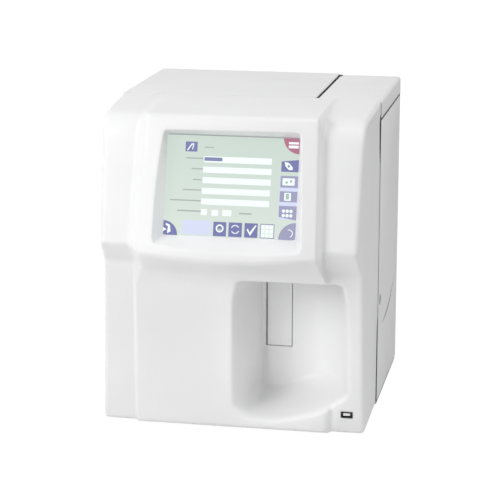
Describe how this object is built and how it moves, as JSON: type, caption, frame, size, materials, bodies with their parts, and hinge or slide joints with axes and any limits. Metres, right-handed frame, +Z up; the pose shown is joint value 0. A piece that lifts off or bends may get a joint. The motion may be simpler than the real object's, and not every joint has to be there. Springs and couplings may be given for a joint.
{
  "type": "hematology analyzer",
  "caption": "Bench-top blood cell counter: white case, tilted touch screen in a proud hood, open sampling recess below, hinged side door and working fluidics inside.",
  "frame": {"origin": "under the middle of the bounding box, on the table the feet stand on", "axes": "+Z up, -Y the screen side, +X to the viewer's right"},
  "size_m": [0.36, 0.4255, 0.44],
  "materials": {
    "white_plastic": "fine satin",
    "grey_plastic": "satin",
    "dark_plastic": "satin",
    "clear_plastic": "clear gloss",
    "cream_plastic": "moulded gloss",
    "blue_plastic": "gloss",
    "sheet_metal": "zinc plated",
    "polished_steel": "ground",
    "brass_metal": "turned",
    "screen_glass": "lit touch screen behind clear glass",
    "foot_rubber": "matt",
    "circuit_green": "solder mask"
  },
  "bodies": {
    "housing": {"front_cover": "white_plastic", "left_cover": "white_plastic", "right_top_cover": "white_plastic", "display_gasket": "dark_plastic", "start_switch": "dark_plastic", "carriage_motor": "dark_plastic", "carriage_belt": "dark_plastic", "photometer": "dark_plastic", "syringe_motor": "dark_plastic", "vacuum_pump": "dark_plastic", "fan_frame": "dark_plastic", "power_inlet": "dark_plastic", "touch_glass": "screen_glass", "display_module": "sheet_metal", "display_bracket": "sheet_metal", "front_frame": "sheet_metal", "base_pan": "sheet_metal", "rear_panel": "sheet_metal", "top_rail": "sheet_metal", "bulkhead": "sheet_metal", "hinge_bracket_1": "sheet_metal", "hinge_bracket_2": "sheet_metal", "lock_keeper": "sheet_metal", "bar_bracket": "sheet_metal", "carriage_beam": "sheet_metal", "chamber_shelf": "sheet_metal", "power_supply": "sheet_metal", "network_port": "sheet_metal", "serial_port": "sheet_metal", "usb_port": "sheet_metal", "foot_1": "foot_rubber", "foot_2": "foot_rubber", "foot_3": "foot_rubber", "foot_4": "foot_rubber", "drain_pump": "grey_plastic", "reagent_inlets": "grey_plastic", "carriage_rod_1": "polished_steel", "carriage_rod_2": "polished_steel", "fan_guard": "polished_steel", "red_cell_chamber": "clear_plastic", "white_cell_chamber": "clear_plastic", "syringe_block": "clear_plastic", "valve_bank": "clear_plastic", "diluent_tank": "clear_plastic", "main_board": "circuit_green"},
    "side_door": {"side_door": "white_plastic"},
    "door_lock": {"door_lock": "grey_plastic"},
    "sampling_bar": {"sampling_bar": "white_plastic"},
    "carriage": {"carriage": "cream_plastic", "needle_motor": "dark_plastic"},
    "needle": {"needle_holder": "blue_plastic", "sampling_needle": "polished_steel"},
    "drive_pulley": {"drive_pulley": "polished_steel"},
    "idler_pulley": {"idler_pulley": "polished_steel"},
    "syringe_pistons": {"syringe_pistons": "polished_steel"},
    "syringe_screw": {"syringe_screw": "brass_metal"},
    "pump_rotor": {"pump_rotor": "cream_plastic"},
    "fan_rotor": {"fan_rotor": "dark_plastic"},
    "power_rocker": {"power_rocker": "dark_plastic"}
  },
  "joints": [
    {"name": "side_door_hinge", "type": "hinge", "parent": "housing", "child": "side_door", "pos_m": [0.1725, 0.19515, 0.2125], "axis": [0, 0, 1], "range_deg": [0, 90]},
    {"name": "door_lock_turn", "type": "hinge", "parent": "side_door", "child": "door_lock", "pos_m": [0.17, -0.00135, 0.155], "axis": [1, 0, 0], "range_deg": [0, 90]},
    {"name": "sampling_bar_hinge", "type": "hinge", "parent": "housing", "child": "sampling_bar", "pos_m": [0.0499, -0.05785, 0.204], "axis": [1, 0, 0], "range_deg": [0, 2.5], "stiffness_Nm_per_rad": 0.5, "springref_deg": -2.29},
    {"name": "carriage_slide", "type": "slide", "parent": "housing", "child": "carriage", "axis": [0, 1, 0], "range_m": [0, 0.146]},
    {"name": "needle_slide", "type": "slide", "parent": "carriage", "child": "needle", "axis": [0, 0, -1], "range_m": [0, 0.092]},
    {"name": "drive_pulley_turn", "type": "hinge", "parent": "housing", "child": "drive_pulley", "pos_m": [0.0266, 0.06565, 0.354], "axis": [1, 0, 0], "range_deg": [-1073, 0]},
    {"name": "idler_pulley_turn", "type": "hinge", "parent": "housing", "child": "idler_pulley", "pos_m": [0.0266, -0.10435, 0.354], "axis": [1, 0, 0], "range_deg": [-1073, 0]},
    {"name": "syringe_slide", "type": "slide", "parent": "housing", "child": "syringe_pistons", "axis": [0, 0, -1], "range_m": [0, 0.03]},
    {"name": "syringe_screw_turn", "type": "hinge", "parent": "housing", "child": "syringe_screw", "pos_m": [0.0048, 0.14865, 0.133], "axis": [0, 0, 1], "range_deg": [0, 5401]},
    {"name": "pump_rotor_turn", "type": "hinge", "parent": "housing", "child": "pump_rotor", "pos_m": [0.004, 0.14065, 0.338], "axis": [1, 0, 0], "continuous": true},
    {"name": "fan_rotor_turn", "type": "hinge", "parent": "housing", "child": "fan_rotor", "pos_m": [-0.105, 0.189, 0.338], "axis": [0, 1, 0], "continuous": true},
    {"name": "power_rocker_tilt", "type": "hinge", "parent": "housing", "child": "power_rocker", "pos_m": [-0.10425, 0.19565, 0.068], "axis": [-1, 0, 0], "range_deg": [0, 18]}
  ],
  "couplings": [
    {"joint": "drive_pulley_turn", "follows": "carriage_slide", "rad_per_m": -128.21},
    {"joint": "idler_pulley_turn", "follows": "carriage_slide", "rad_per_m": -128.21},
    {"joint": "syringe_screw_turn", "follows": "syringe_slide", "rad_per_m": 3141.6}
  ]
}
